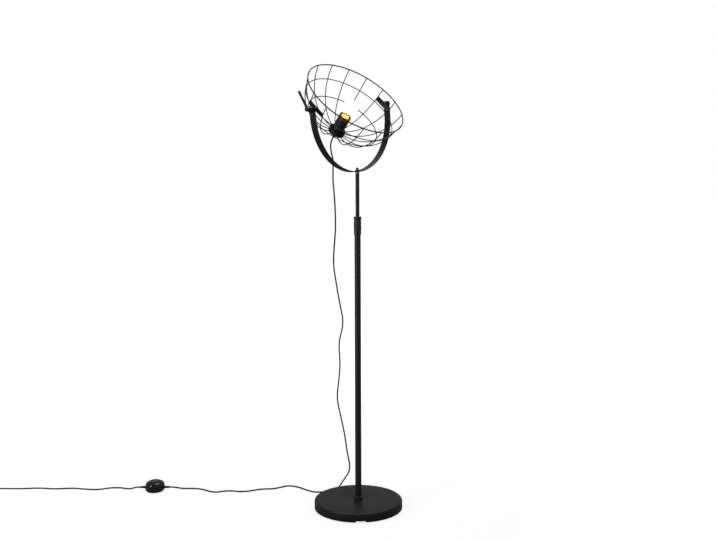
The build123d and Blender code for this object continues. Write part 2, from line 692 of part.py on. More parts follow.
# ---- Foot switch
def make_switch():
    place = Pos(switch_x, switch_y, 0)
    relief_hole = Pos(0, 0, switch_cord_height) * Rot(0, 90, 0) * Cylinder(
        switch_relief_diameter / 2 + running_gap, 2 * switch_diameter)
    base = rod(switch_diameter - 2, switch_base_height)
    base = fillet(base.edges().sort_by(Axis.Z)[0], switch_base_edge)
    base -= rod(switch_diameter - 2 - 4 * switch_wall, switch_base_height, switch_wall)
    save("switch_base", place * (base - relief_hole))

    cover = rod(switch_diameter, switch_height - switch_base_height, switch_base_height)
    cover = fillet(cover.edges().sort_by(Axis.Z)[-1], switch_edge)
    hollow = rod(switch_diameter - 2 * switch_wall, switch_height - switch_base_height - switch_wall,
                 switch_base_height)
    hollow = fillet(hollow.edges().sort_by(Axis.Z)[-1], switch_edge - switch_wall)
    button_hole = rod(switch_button_diameter + 2 * running_gap, switch_height)
    save("switch_cover", place * (cover - hollow - button_hole - relief_hole))

    button_low = switch_height - switch_wall - 6
    button = rod(switch_button_diameter, 6 + switch_wall + switch_button_proud, button_low)
    button = fillet(button.edges().sort_by(Axis.Z)[-1], 2)
    save("switch_button", place * button)
    block_top = button_low - switch_travel - seat_gap
    block = Pos(0, 0, switch_wall) * Box(30, 24, block_top - switch_wall, align=on_floor)
    save("switch_block", place * block)

    reliefs = []
    for side in (-1, 1):
        taper = cone(switch_relief_diameter, switch_relief_diameter - 2, switch_relief_length)
        start = side * (switch_diameter / 2 - 1)
        boot = Pos(start, 0, switch_cord_height) * Rot(0, side * 90, 0) * taper
        reliefs.append(place * boot)
    save("switch_reliefs", *reliefs)


make_base()
make_lower_pole()
make_twist_lock()
make_upper_pole()
make_yoke()
make_cage()
make_pivots()
make_lever()
make_holder()
make_cord()
make_coil_and_plug()
make_switch()

for name, place in (("yoke", yoke_place), ("cage", cage_place), ("lever", lever_place)):
    at, x, z = place.position, (place * Pos(1, 0, 0)).position, (place * Pos(0, 0, 1)).position
    print(name, "at", [round(v, 3) for v in at])
    print("    x", [round(v, 6) for v in x - at], "z", [round(v, 6) for v in z - at])
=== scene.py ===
# Floor lamp with a wire bowl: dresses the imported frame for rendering.
# Metres, +Z up, the origin under the middle of the base. Sizes in the dictionaries are millimetres, but
# those of the camera, the floor, the cord and its coil are metres.
from math import asin, cos, pi, radians, sin, sqrt

import bmesh
import bpy
from mathutils import Matrix, Vector


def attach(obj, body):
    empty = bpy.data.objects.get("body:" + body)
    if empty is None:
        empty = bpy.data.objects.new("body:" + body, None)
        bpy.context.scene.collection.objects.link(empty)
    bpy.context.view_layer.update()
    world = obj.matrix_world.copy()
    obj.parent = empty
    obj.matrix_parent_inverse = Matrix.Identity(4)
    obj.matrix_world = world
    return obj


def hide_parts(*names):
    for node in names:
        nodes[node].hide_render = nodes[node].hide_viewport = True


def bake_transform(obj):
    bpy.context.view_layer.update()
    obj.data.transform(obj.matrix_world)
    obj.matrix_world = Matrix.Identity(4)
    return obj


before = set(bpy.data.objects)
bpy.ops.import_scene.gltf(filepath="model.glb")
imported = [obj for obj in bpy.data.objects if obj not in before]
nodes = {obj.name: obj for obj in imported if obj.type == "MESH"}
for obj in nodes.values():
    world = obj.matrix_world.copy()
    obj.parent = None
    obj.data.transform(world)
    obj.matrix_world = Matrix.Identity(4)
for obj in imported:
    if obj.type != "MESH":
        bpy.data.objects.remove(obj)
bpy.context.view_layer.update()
mm = 0.001


# ---- Camera, light and floor
# Level, but for the small roll with which the picture was taken
cameraView = {"place": (0, -2.669, 0.9341), "lens": 41.936, "shift": (0.0007, -0.0768), "roll": -0.18}
lens = bpy.data.cameras.new("camera")
lens.lens, lens.sensor_width, lens.clip_end = cameraView["lens"], 36, 50
lens.shift_x, lens.shift_y = cameraView["shift"]
camera = bpy.data.objects.new("camera", lens)
camera.location = cameraView["place"]
camera.rotation_euler = (Matrix.Rotation(pi / 2, 3, "X")
                         @ Matrix.Rotation(radians(cameraView["roll"]), 3, "Z")).to_euler()
bpy.context.collection.objects.link(camera)
bpy.context.scene.camera = camera
bpy.context.scene.view_settings.view_transform = "Standard"


def linear(hexColour):
    values = [int(hexColour[k:k + 2], 16) / 255 for k in (1, 3, 5)]
    return [v / 12.92 if v <= 0.04045 else ((v + 0.055) / 1.055) ** 2.4 for v in values] + [1]


def addNode(tree, kind, values={}, links={}, **settings):
    made = tree.nodes.new(kind)
    for key, value in settings.items():
        setattr(made, key, value)
    for key, value in values.items():
        made.inputs[key].default_value = value
    for key, source in links.items():
        tree.links.new(source, made.inputs[key])
    return made


def softLamp(name, place, aim, size, power):
    light = bpy.data.lights.new(name, "AREA")
    light.shape, light.size, light.size_y = "RECTANGLE", size[0], size[1]
    light.energy = power
    lamp = bpy.data.objects.new(name, light)
    lamp.location = place
    lamp.rotation_euler = (Vector(aim) - Vector(place)).to_track_quat("-Z", "Y").to_euler()
    bpy.context.collection.objects.link(lamp)


softLamp("key lamp", place=(-2.2, -1.5, 1.1), aim=(0, 0, 0.7), size=(0.8, 1.5), power=23)
softLamp("fill lamp", place=(2.4, -1.8, 1.6), aim=(0, 0, 0.8), size=(1.2, 1.8), power=3)
softLamp("top lamp", place=(0.2, 0.6, 3.2), aim=(0, 0, 0), size=(2.4, 2.0), power=40)

# The studio is white to the camera and through glass, and dimmer where it only lights the lamp
ambience = 0.3
world = bpy.data.worlds.new("studio")
bpy.context.scene.world = world
world.use_nodes = True
tree = world.node_tree
tree.nodes.clear()
ray = addNode(tree, "ShaderNodeLightPath")
seen = addNode(tree, "ShaderNodeMath", {},
               {0: ray.outputs["Is Camera Ray"], 1: ray.outputs["Is Transmission Ray"]},
               operation="MAXIMUM")
seen = addNode(tree, "ShaderNodeMath", {1: ambience}, {0: seen.outputs[0]}, operation="MAXIMUM")
sky = addNode(tree, "ShaderNodeBackground", {"Color": (1, 1, 1, 1)}, {"Strength": seen.outputs[0]})
addNode(tree, "ShaderNodeOutputWorld", {}, {"Surface": sky.outputs[0]})

# White paper that glows to the camera, a little less near the lamp than far from it
paper = {"size": 14, "colour": "#9c9c9c", "near": 0.5, "far": 2.2, "nearGlow": 0.76, "farGlow": 1.0}
floorMesh = bpy.data.meshes.new("floor")
bm = bmesh.new()
bmesh.ops.create_grid(bm, x_segments=1, y_segments=1, size=paper["size"])
bm.to_mesh(floorMesh)
bm.free()
floor = bpy.data.objects.new("floor", floorMesh)
bpy.context.collection.objects.link(floor)
floorPaint = bpy.data.materials.new("white paper floor")
floorPaint.use_nodes = True
tree = floorPaint.node_tree
tree.nodes.clear()
ray = addNode(tree, "ShaderNodeLightPath")
place = addNode(tree, "ShaderNodeTexCoord")
away = addNode(tree, "ShaderNodeVectorMath", {}, {0: place.outputs["Object"]}, operation="LENGTH")
fade = addNode(tree, "ShaderNodeMapRange",
               {"From Min": paper["near"], "From Max": paper["far"],
                "To Min": paper["nearGlow"], "To Max": paper["farGlow"]}, {"Value": away.outputs["Value"]})
matt = addNode(tree, "ShaderNodeBsdfDiffuse", {"Color": linear(paper["colour"])})
glow = addNode(tree, "ShaderNodeMath", {}, {0: ray.outputs["Is Camera Ray"], 1: fade.outputs[0]},
               operation="MULTIPLY")
light = addNode(tree, "ShaderNodeEmission", {"Color": (1, 1, 1, 1)}, {"Strength": glow.outputs[0]})
both = addNode(tree, "ShaderNodeAddShader", {}, {0: matt.outputs[0], 1: light.outputs[0]})
addNode(tree, "ShaderNodeOutputMaterial", {}, {"Surface": both.outputs[0]})
floorMesh.materials.append(floorPaint)
print("camera, light and floor are set")


# ---- Places of the pieces that move
# The yoke's frame stands on the middle of its strip, the cage's on the pivot with the opening up Z
pose = {"strip": 1073.5, "turn": 48.5, "lean": -8, "pivot": 207.5, "tilt": 44.6, "leverLean": -22,
        "leverFoot": 180.4, "cup": -111.07}
yokePlace = (Matrix.Translation((0, 0, pose["strip"] * mm)) @ Matrix.Rotation(radians(pose["turn"]), 4, "Z")
             @ Matrix.Rotation(radians(pose["lean"]), 4, "Y"))
pivotPlace = yokePlace @ Matrix.Translation((0, 0, pose["pivot"] * mm))
cagePlace = pivotPlace @ Matrix.Rotation(radians(pose["tilt"]), 4, "X")
leverPlace = (pivotPlace @ Matrix.Rotation(radians(pose["leverLean"]), 4, "X")
              @ Matrix.Translation((-pose["leverFoot"] * mm, 0, 0)) @ Matrix.Rotation(radians(-90), 4, "Y"))
holderPlace = cagePlace @ Matrix.Translation((0, 0, pose["cup"] * mm))


# ---- Finishes
def startMaterial(name, colour, roughness, **sockets):
    made = bpy.data.materials.new(name)
    made.use_nodes = True
    tree = made.node_tree
    shader = tree.nodes["Principled BSDF"]
    shader.inputs["Base Color"].default_value = linear(colour)
    shader.inputs["Roughness"].default_value = roughness
    for key, value in sockets.items():
        shader.inputs[key.replace("_", " ")].default_value = value
    place = addNode(tree, "ShaderNodeTexCoord")
    return made, tree, shader, place.outputs["Object"]


def mixed(tree, low, high, share):
    # A colour between two others
    mix = addNode(tree, "ShaderNodeMix", {6: linear(low), 7: linear(high)}, {0: share}, data_type="RGBA")
    return mix.outputs[2]


def shimmer(tree, shader, source, low, high):
    # Lets the roughness wander between two values
    gloss = addNode(tree, "ShaderNodeMapRange", {"To Min": low, "To Max": high}, {"Value": source})
    tree.links.new(gloss.outputs[0], shader.inputs["Roughness"])


def relief(tree, shader, source, strength, depth):
    # Raises a fine grain, its depth in millimetres
    bump = addNode(tree, "ShaderNodeBump", {"Strength": strength, "Distance": depth * mm},
                   {"Height": source})
    tree.links.new(bump.outputs[0], shader.inputs["Normal"])


def powderCoat(name, colour, roughness, peel):
    # Powder baked on steel: satin, with the soft dimples of orange peel, drawn a little coarser than real
    made, tree, shader, place = startMaterial(name, colour, roughness, Specular_IOR_Level=0.3)
    dimples = addNode(tree, "ShaderNodeTexNoise", {"Scale": 1 / (peel * mm), "Detail": 2},
                      {"Vector": place})
    relief(tree, shader, dimples.outputs["Fac"], strength=0.25, depth=0.08)
    cloud = addNode(tree, "ShaderNodeTexNoise", {"Scale": 18, "Detail": 3}, {"Vector": place})
    shimmer(tree, shader, cloud.outputs["Fac"], low=roughness - 0.05, high=roughness + 0.06)
    return made


def moulded(name, colour, roughness, grain=0.0):
    # Injection moulded plastic: an even skin with a faint mottle, or a fine spark grain
    made, tree, shader, place = startMaterial(name, colour, roughness)
    mottle = addNode(tree, "ShaderNodeTexNoise", {"Scale": 60, "Detail": 4}, {"Vector": place})
    shimmer(tree, shader, mottle.outputs["Fac"], low=roughness - 0.04, high=roughness + 0.05)
    if grain:
        sparks = addNode(tree, "ShaderNodeTexNoise", {"Scale": 1 / (grain * mm), "Detail": 3},
                         {"Vector": place})
        relief(tree, shader, sparks.outputs["Fac"], strength=0.3, depth=0.06)
    return made


def turnedMetal(name, colour, roughness, line=0.25):
    # Turned or rolled metal: fine lines round the piece show as a soft streaked gloss
    made, tree, shader, place = startMaterial(name, colour, roughness, Metallic=1.0)
    lines = addNode(tree, "ShaderNodeTexNoise", {"Scale": 1 / (line * mm), "Detail": 2},
                    {"Vector": place})
    shimmer(tree, shader, lines.outputs["Fac"], low=roughness - 0.06, high=roughness + 0.1)
    relief(tree, shader, lines.outputs["Fac"], strength=0.15, depth=0.04)
    return made


# These four are one black powder coat in different tones; the differences are painted light and shade,
# lighter on the poles and darker on the strip and wires
basePaint = powderCoat("satin powder coat on the base", "#141414", 0.44, 1.6)
polePaint = powderCoat("satin powder coat on the poles", "#1e1e1e", 0.4, 1.2)
yokePaint = powderCoat("satin powder coat on the strip", "#0c0b0b", 0.46, 3.0)
wirePaint = powderCoat("satin powder coat on the wires", "#080807", 0.46, 1.0)
collarPlastic = moulded("moulded ABS, fine grain", "#212120", 0.42, 0.9)
holderPlastic = moulded("black phenolic", "#080b0c", 0.42)
blackPlastic = moulded("black nylon cord grip", "#141414", 0.45, 0.6)
switchPlastic = moulded("polished black ABS", "#0b0b0c", 0.12)
buttonPlastic = moulded("polished black ABS button", "#0e0e0f", 0.16)
leverPlastic = moulded("moulded black glass-filled nylon", "#0b0b0b", 0.38, 0.8)
plugPlastic = moulded("soft black vinyl plug", "#131313", 0.5, 0.7)
naturalNylon = moulded("natural nylon", "#e3dfd2", 0.42)
brass = turnedMetal("rolled brass", "#d9b866", 0.26)
insertBrass = turnedMetal("turned brass", "#cfae5e", 0.3)
aluminium = turnedMetal("rolled aluminium cap", "#c9cacb", 0.3)
zincSteel = turnedMetal("zinc plated steel", "#b9bcc0", 0.34)
blackNickel = turnedMetal("black nickel plate", "#4b4a4a", 0.24)
pinNickel = turnedMetal("nickel plated brass pin", "#c8c5bd", 0.2)

# PVC flex: a half-gloss extruded skin with the faint lay of the cores under it
cordVinyl, tree, shader, place = startMaterial("extruded black vinyl flex", "#101010", 0.36)
skin = addNode(tree, "ShaderNodeTexNoise", {"Scale": 420, "Detail": 3}, {"Vector": place})
relief(tree, shader, skin.outputs["Fac"], strength=0.3, depth=0.1)

# Needled felt: short fibres that scatter light
felt, tree, shader, place = startMaterial("needled black felt", "#1c1c1c", 0.95, Sheen_Weight=0.4)
fibres = addNode(tree, "ShaderNodeTexNoise", {"Scale": 900, "Detail": 6, "Roughness": 0.8},
                 {"Vector": place})
relief(tree, shader, fibres.outputs["Fac"], strength=0.8, depth=0.3)

# Cast concrete: pores and pale grey clouds
concrete, tree, shader, place = startMaterial("cast concrete", "#8d8b86", 0.9)
pores = addNode(tree, "ShaderNodeTexVoronoi", {"Scale": 220}, {"Vector": place})
relief(tree, shader, pores.outputs["Distance"], strength=0.6, depth=0.5)
cloud = addNode(tree, "ShaderNodeTexNoise", {"Scale": 40, "Detail": 5}, {"Vector": place})
tree.links.new(mixed(tree, "#7c7a75", "#9d9a94", cloud.outputs["Fac"]), shader.inputs["Base Color"])

# Unglazed steatite: chalky white with a slight mottle
ceramic, tree, shader, place = startMaterial("unglazed white ceramic", "#e8e4da", 0.7)
chalk = addNode(tree, "ShaderNodeTexNoise", {"Scale": 260, "Detail": 4}, {"Vector": place})
relief(tree, shader, chalk.outputs["Fac"], strength=0.3, depth=0.1)


def heightInHolder(tree, place):
    # Height above the cup's underside, along the bowl's axis
    local = addNode(tree, "ShaderNodeMapping",
                    {"Location": holderPlace.translation, "Rotation": holderPlace.to_euler()},
                    {"Vector": place}, vector_type="TEXTURE")
    axis = addNode(tree, "ShaderNodeSeparateXYZ", {}, {0: local.outputs[0]})
    return axis.outputs["Z"]


def ramp(tree, height, start, end):
    # Goes smoothly from 0 at one height to 1 at another
    return addNode(tree, "ShaderNodeMapRange", {"From Min": start * mm, "From Max": end * mm},
                   {"Value": height}, interpolation_type="SMOOTHSTEP")


# Inside coated glass, lit: too bright to see through at the globe, clearer and yellow towards the neck.
# Heights are from the cup's underside.
glow = {"strength": 14, "globe": "#ffd9a3", "neck": "#4c4316", "fade": (97, 102), "clear": (68, 63),
        "cloud": (95, 101), "least": 0.05}
litGlass, tree, shader, place = startMaterial("lit coated glass", "#cdbb86", 0.2,
                                              Emission_Strength=glow["strength"])
height = heightInHolder(tree, place)
cloud, down = ramp(tree, height, *glow["cloud"]), ramp(tree, height, *glow["clear"])
solid = addNode(tree, "ShaderNodeMath", {}, {0: cloud.outputs[0], 1: down.outputs[0]}, operation="MAXIMUM")
solid = addNode(tree, "ShaderNodeMath", {1: glow["least"]}, {0: solid.outputs[0]}, operation="MAXIMUM")
tree.links.new(solid.outputs[0], shader.inputs["Alpha"])
up = ramp(tree, height, *glow["fade"])
tree.links.new(mixed(tree, glow["neck"], glow["globe"], up.outputs[0]), shader.inputs["Emission Color"])

# Painted light: the black holder glows in a band below its teeth, drawn as emission, standing in for the
# bulb's light at its rim
paintedRimGlow = {"colour": "#6e4a00", "from": 60, "to": 71, "strength": 0.7}
tree = holderPlastic.node_tree
shader = tree.nodes["Principled BSDF"]
# Painted light: emission on the holder's shell, not its own colour
shader.inputs["Emission Strength"].default_value = paintedRimGlow["strength"]
height = heightInHolder(tree, tree.nodes["Texture Coordinate"].outputs["Object"])
up = addNode(tree, "ShaderNodeMapRange",
             {"From Min": paintedRimGlow["from"] * mm, "From Max": paintedRimGlow["to"] * mm, "To Max": 2},
             {"Value": height})
band = addNode(tree, "ShaderNodeMath", {1: 1}, {0: up.outputs[0]}, operation="PINGPONG")
tree.links.new(mixed(tree, "#000000", paintedRimGlow["colour"], band.outputs[0]), shader.inputs["Emission Color"])

nodeFinish = {
    "base_pad": felt, "base_weight": concrete, "base_washer": zincSteel, "base_bolt": zincSteel,
    "foot_plug": zincSteel, "lock_collet": naturalNylon, "slide_bush": naturalNylon, "pole_tip": zincSteel,
    "seat_washer_lower": blackNickel, "seat_washer_upper": blackNickel,
    "pivot_stud_left": blackNickel, "pivot_stud_right": blackNickel,
    "pivot_washers_left": blackNickel, "pivot_washers_right": blackNickel,
    "lever_insert": insertBrass, "holder_nipple": zincSteel, "holder_nut": zincSteel,
    "holder_core": ceramic, "plug_body": plugPlastic, "plug_pins": pinNickel, "switch_block": naturalNylon,
    "base_cover": basePaint, "lower_pole": polePaint, "upper_pole": polePaint, "foot_collar": collarPlastic,
    "lock_collar": collarPlastic, "yoke": yokePaint, "yoke_cap_nut": blackNickel,
    "cage_rim": wirePaint, "cage_upper_ring": wirePaint, "cage_lower_ring": wirePaint,
    "cage_ribs": wirePaint,
    "pivot_plate_left": wirePaint, "pivot_plate_right": wirePaint, "pivot_nut": blackNickel,
    "lever_handle": leverPlastic, "lever_screw": blackNickel, "holder_cup": wirePaint,
    "holder_shell": holderPlastic, "holder_thread": brass, "bulb_cap": aluminium, "bulb_tip": zincSteel,
    "bulb_glass": litGlass, "cord_grip": blackPlastic, "switch_base": switchPlastic,
    "switch_cover": switchPlastic, "switch_button": buttonPlastic, "switch_reliefs": blackPlastic,
}
for name, finish in nodeFinish.items():
    for slot in nodes[name].material_slots:
        slot.material = finish
print("finishes are made")


# ---- Building and placing
upright = Matrix.Identity(4)
sharpAngle = 35


def roundOff(bm, geom, radius, segments, affect="EDGES"):
    bmesh.ops.bevel(bm, geom=geom, offset=radius, offset_type="OFFSET", segments=segments, profile=0.5,
                    affect=affect, material=-1)


def turnRound(bm, steps):
    # Turns the drawn line once round Z into a closed skin
    bmesh.ops.spin(bm, geom=bm.verts[:] + bm.edges[:], cent=(0, 0, 0), axis=(0, 0, 1), dvec=(0, 0, 0),
                   angle=2 * pi, steps=steps, use_merge=True)
    bmesh.ops.remove_doubles(bm, verts=bm.verts[:], dist=0.001)
    bmesh.ops.recalc_face_normals(bm, faces=bm.faces[:])


def spun(rows, steps=64):
    # rows: radius, height, rounding of that corner
    bm = bmesh.new()
    corners = [bm.verts.new((radius, 0, height)) for radius, height, rounding in rows]
    closed = rows[0][0] > 0 or rows[-1][0] > 0
    for a, b in zip(corners, corners[1:] + corners[:1] * closed):
        bm.edges.new((a, b))
    for corner, (radius, height, rounding) in zip(corners, rows):
        if rounding:
            roundOff(bm, [corner], rounding, 3 if rounding < 1 else 8, "VERTICES")
    turnRound(bm, steps)
    return bm


def addBlock(bm, size, place, edge):
    made = bmesh.ops.create_cube(bm, size=1, matrix=place @ Matrix.Diagonal((*size, 1)))["verts"]
    if edge:
        roundOff(bm, list({e for v in made for e in v.link_edges}), edge, 3)


def addRod(bm, radius, length, place, sides=32):
    # A round or six-sided rod, its middle on the place
    bmesh.ops.create_cone(bm, cap_ends=True, segments=sides, radius1=radius, radius2=radius, depth=length,
                          matrix=place)


def addShape(bm, other):
    mesh = bpy.data.meshes.new("second shape")
    other.to_mesh(mesh)
    other.free()
    bm.from_mesh(mesh)
    bpy.data.meshes.remove(mesh)


def addPiece(name, bm, finish, body, place=upright, stands=(), sharp=sharpAngle):
    bmesh.ops.transform(bm, matrix=place @ Matrix.Scale(mm, 4), verts=bm.verts)
    mesh = bpy.data.meshes.new(name)
    bm.to_mesh(mesh)
    bm.free()
    mesh.materials.append(finish)
    mesh.shade_smooth()
    mesh.set_sharp_from_angle(angle=radians(sharp))
    piece = bpy.data.objects.new(name, mesh)
    bpy.context.collection.objects.link(piece)
    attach(piece, body)
    if stands:
        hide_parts(*stands)
    return piece


def cut(piece, bm, place, operation="DIFFERENCE"):
    # Cuts or joins another shape, and keeps the result as the piece's own mesh
    bmesh.ops.transform(bm, matrix=place @ Matrix.Scale(mm, 4), verts=bm.verts)
    mesh = bpy.data.meshes.new("cutter")
    bm.to_mesh(mesh)
    bm.free()
    cutter = bpy.data.objects.new("cutter", mesh)
    bpy.context.collection.objects.link(cutter)
    change = piece.modifiers.new("cut", "BOOLEAN")
    change.object, change.operation, change.solver = cutter, operation, "EXACT"
    bpy.context.view_layer.update()
    result = bpy.data.meshes.new_from_object(piece.evaluated_get(bpy.context.evaluated_depsgraph_get()))
    piece.modifiers.remove(change)
    piece.data = result
    bpy.data.objects.remove(cutter)
    result.shade_smooth()
    result.set_sharp_from_angle(angle=radians(sharpAngle))


def soften(piece, width):
    bevel = piece.modifiers.new("edges", "BEVEL")
    bevel.width, bevel.segments, bevel.harden_normals = width * mm, 2, True
    bevel.limit_method, bevel.angle_limit = "ANGLE", radians(40)


def thicken(piece, wall, offset):
    # Gives sheet its wall: offset 0 lays it half on each side, -1 inside
    sheet = piece.modifiers.new("sheet", "SOLIDIFY")
    sheet.thickness, sheet.offset = wall * mm, offset


# ---- Cord: the same route as the frame's own, in metres
cordSize = {"diameter": 0.005, "neck": 0.225, "upper": 0.3, "lower": 0.735, "floor": 0.585, "lead": 1.55}
neckRoute = [
    (-0.078074, 0.04746, 1.188681), (-0.087278, 0.05825, 1.174579), (-0.087, 0.0605, 1.145),
    (-0.08, 0.061, 1.119), (-0.0795, 0.064, 1.088), (-0.0805, 0.0674, 1.046), (-0.0765, 0.0705, 1.01),
    (-0.0744, 0.0737, 0.97),
]
upperRoute = [
    (-0.0744, 0.0737, 0.97), (-0.071, 0.079, 0.905), (-0.077, 0.086, 0.835),
    (-0.081, 0.091, 0.77), (-0.071, 0.096, 0.707), (-0.066, 0.0985, 0.676),
]
lowerRoute = [
    (-0.066, 0.0985, 0.676), (-0.061, 0.101, 0.645), (-0.046, 0.107, 0.574), (-0.065, 0.112, 0.51),
    (-0.059, 0.119, 0.44), (-0.064, 0.124, 0.38), (-0.072, 0.129, 0.32), (-0.058, 0.134, 0.258),
    (-0.045, 0.14, 0.193), (-0.037, 0.145, 0.132), (-0.025, 0.149, 0.074), (-0.052, 0.152, 0.035),
    (-0.068, 0.154, 0.009), (-0.088, 0.15, 0.0025), (-0.112, 0.139, 0.0025),
]
floorRoute = [
    (-0.112, 0.139, 0.0025), (-0.1425, 0.1335, 0.0025), (-0.174, 0.155, 0.0025), (-0.204, 0.1895, 0.0025),
    (-0.244, 0.208, 0.0025), (-0.284, 0.171, 0.0025), (-0.332, 0.171, 0.0025), (-0.386, 0.139, 0.0025),
    (-0.442, 0.157, 0.0025), (-0.484, 0.133, 0.0025), (-0.53, 0.17, 0.0025), (-0.563, 0.18, 0.0025),
    (-0.592, 0.177, 0.0025), (-0.61, 0.167, 0.008), (-0.627, 0.162, 0.013), (-0.641, 0.162, 0.013),
]
leadRoute = [
    (-0.739, 0.162, 0.013), (-0.753, 0.162, 0.013), (-0.769, 0.167, 0.007), (-0.786, 0.175, 0.0025),
    (-0.813, 0.189, 0.0025), (-0.85, 0.188, 0.0025), (-0.884, 0.168, 0.0025), (-0.927, 0.173, 0.0025),
    (-0.978, 0.187, 0.0025), (-1.035, 0.176, 0.0025), (-1.092, 0.189, 0.0025), (-1.15, 0.181, 0.0025),
    (-1.206, 0.183, 0.0025), (-1.266, 0.186, 0.0025), (-1.328, 0.186, 0.0025),
]


def layCord(name, route):
    curve = bpy.data.curves.new(name, "CURVE")
    curve.dimensions, curve.resolution_u, curve.use_fill_caps = "3D", 6, True
    curve.bevel_depth, curve.bevel_resolution = cordSize["diameter"] / 2, 3
    line = curve.splines.new("NURBS")
    line.points.add(len(route) - 1)
    for point, spot in zip(line.points, route):
        point.co = (*spot, 1)
    line.order_u, line.use_endpoint_u = 3, True
    curve.materials.append(cordVinyl)
    cord = bpy.data.objects.new(name, curve)
    bpy.context.collection.objects.link(cord)
    return cord


def lineOf(cord):
    # The points along a cord's own smooth line
    bare = cord.copy()
    bare.data = cord.data.copy()
    bare.data.bevel_depth = 0
    bpy.context.collection.objects.link(bare)
    bpy.context.view_layer.update()
    line = bpy.data.meshes.new_from_object(bare.evaluated_get(bpy.context.evaluated_depsgraph_get()))
    points = [v.co.copy() for v in line.vertices]
    bpy.data.objects.remove(bare)
    print(cord.name, "is", round(sum((a - b).length for a, b in zip(points, points[1:])), 4), "m long")
    return points


def tubeOf(cord):
    # The cord as a mesh, for the stretches that bend between two bodies
    bpy.context.view_layer.update()
    mesh = bpy.data.meshes.new_from_object(cord.evaluated_get(bpy.context.evaluated_depsgraph_get()))
    points, name = lineOf(cord), cord.name
    bpy.data.objects.remove(cord)
    mesh.shade_smooth()
    tube = bpy.data.objects.new(name, mesh)
    bpy.context.collection.objects.link(tube)
    return tube, points


cordNeck, neckLine = tubeOf(layCord("cordNeck", neckRoute))
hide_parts("cord_top", "cord_neck", "cord_hang")
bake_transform(cordNeck)
cordUpper, upperLine = tubeOf(layCord("cordUpper", upperRoute))
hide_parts("cord_hang")
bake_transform(cordUpper)
cordLower, lowerLine = tubeOf(layCord("cordLower", lowerRoute))
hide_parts("cord_hang")
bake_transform(cordLower)
cordFloor = layCord("cordFloor", floorRoute)
lineOf(cordFloor)
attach(cordFloor, "stand")
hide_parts("cord_floor")
print("the cord is laid")


# ---- The put-away coil, its tie and the plug
# The coil is in metres; angles between its points are in degrees
coil = {"x": -1.328, "top": 0.186, "radius": 0.034, "step": 0.0028, "layer": 0.00545, "halfTurns": 5,
        "spread": 30, "perHalf": 6}


def coilPoints():
    # Inwards on the floor, up one layer, and outwards on top, ending with a quarter turn
    low, half = cordSize["diameter"] / 2, coil["perHalf"]
    inwards = [coil["radius"] - k * coil["step"] for k in range(coil["halfTurns"])]
    turns = [(radius, low, low) for radius in inwards]
    turns += [(inwards[-1] - coil["step"], low, low + coil["layer"])]
    turns += [(radius, low + coil["layer"], low + coil["layer"]) for radius in reversed(inwards)]
    y, side, points = coil["top"], 1, []
    for count, (radius, first, last) in enumerate(turns):
        middle, reach = y - side * radius, radius / cos(radians(coil["spread"] / 2))
        for k in range(half // 2 if count == len(turns) - 1 else half):
            angle = radians(coil["spread"] * (k + 0.5))
            height = first + (last - first) * (k + 0.5) / half
            points.append((coil["x"] - side * reach * sin(angle),
                           middle + side * reach * cos(angle), height))
        y, side = y - 2 * side * radius, -side
    return points


tailRoute = [(-1.362, 0.1384, 0.00795), (-1.362, 0.1214, 0.0074), (-1.362, 0.1064, 0.0069)]
cordLead = layCord("cordLead", leadRoute + coilPoints() + tailRoute)
lineOf(cordLead)
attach(cordLead, "stand")
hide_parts("cord_lead", "cord_coil")

# A band of soft strap holds the coil together on its far side
tie = {"width": 9, "length": 20.4, "height": 11.5, "thickness": 0.8, "rounding": 3.2,
       "middle": (27.4, 149.2, 6.05)}
bm = bmesh.new()
addBlock(bm, (tie["length"], tie["width"], tie["height"]), upright, 0)
roundOff(bm, [e for e in bm.edges if abs(e.verts[0].co.y - e.verts[1].co.y) > 1], tie["rounding"], 6)
bmesh.ops.delete(bm, geom=[f for f in bm.faces if abs(f.normal.y) > 0.9], context="FACES")
bmesh.ops.solidify(bm, geom=bm.faces[:], thickness=tie["thickness"])
coilTie = addPiece("coilTie", bm, blackPlastic, "stand",
                   Matrix.Translation((coil["x"], 0, 0)) @ Matrix.Translation(Vector(tie["middle"]) * mm))
print("the coil is tied")


# ---- Base
base = {"radius": 140, "height": 27, "edge": 5, "wall": 1.2, "lift": 0.8, "bore": 5.1,
        "notch": (30, 14, 9.6), "notchTurn": 3, "notchEdge": 0.8}
inside = base["radius"] - base["wall"]
under = base["height"] - base["wall"]
bm = spun([(base["bore"], under, 0), (inside, under, base["edge"] - 1), (inside, base["lift"], 0.2),
           (base["radius"], base["lift"], 0.5), (base["radius"], base["height"], base["edge"]),
           (base["bore"], base["height"], 0.2)], 160)
baseCover = addPiece("baseCover", bm, basePaint, "stand", stands=["base_cover"])
bm = bmesh.new()
addBlock(bm, base["notch"], Matrix.Rotation(radians(base["notchTurn"]), 4, "Z")
         @ Matrix.Translation((0, -base["radius"], 0)), base["notchEdge"])
cut(baseCover, bm, upright)
print("the base is pressed")


# ---- Poles, foot collar and twist lock
pole = {"foot": 27, "top": 905, "outer": 10, "inner": 8.5, "thin": 6.25, "thinInner": 5.25,
        "thinFoot": 554, "thinTop": 1067.5}
bm = spun([(pole["inner"], pole["foot"], 0), (pole["outer"], pole["foot"], 0),
           (pole["outer"], pole["top"], 0.4), (pole["inner"], pole["top"], 0.2)])
addPiece("lowerPole", bm, polePaint, "stand", stands=["lower_pole"])
bm = spun([(pole["thinInner"], pole["thinFoot"], 0), (pole["thin"], pole["thinFoot"], 0.2),
           (pole["thin"], pole["thinTop"], 0.3), (pole["thinInner"], pole["thinTop"], 0.2)])
addPiece("upperPole", bm, polePaint, "upper_pole", stands=["upper_pole"])

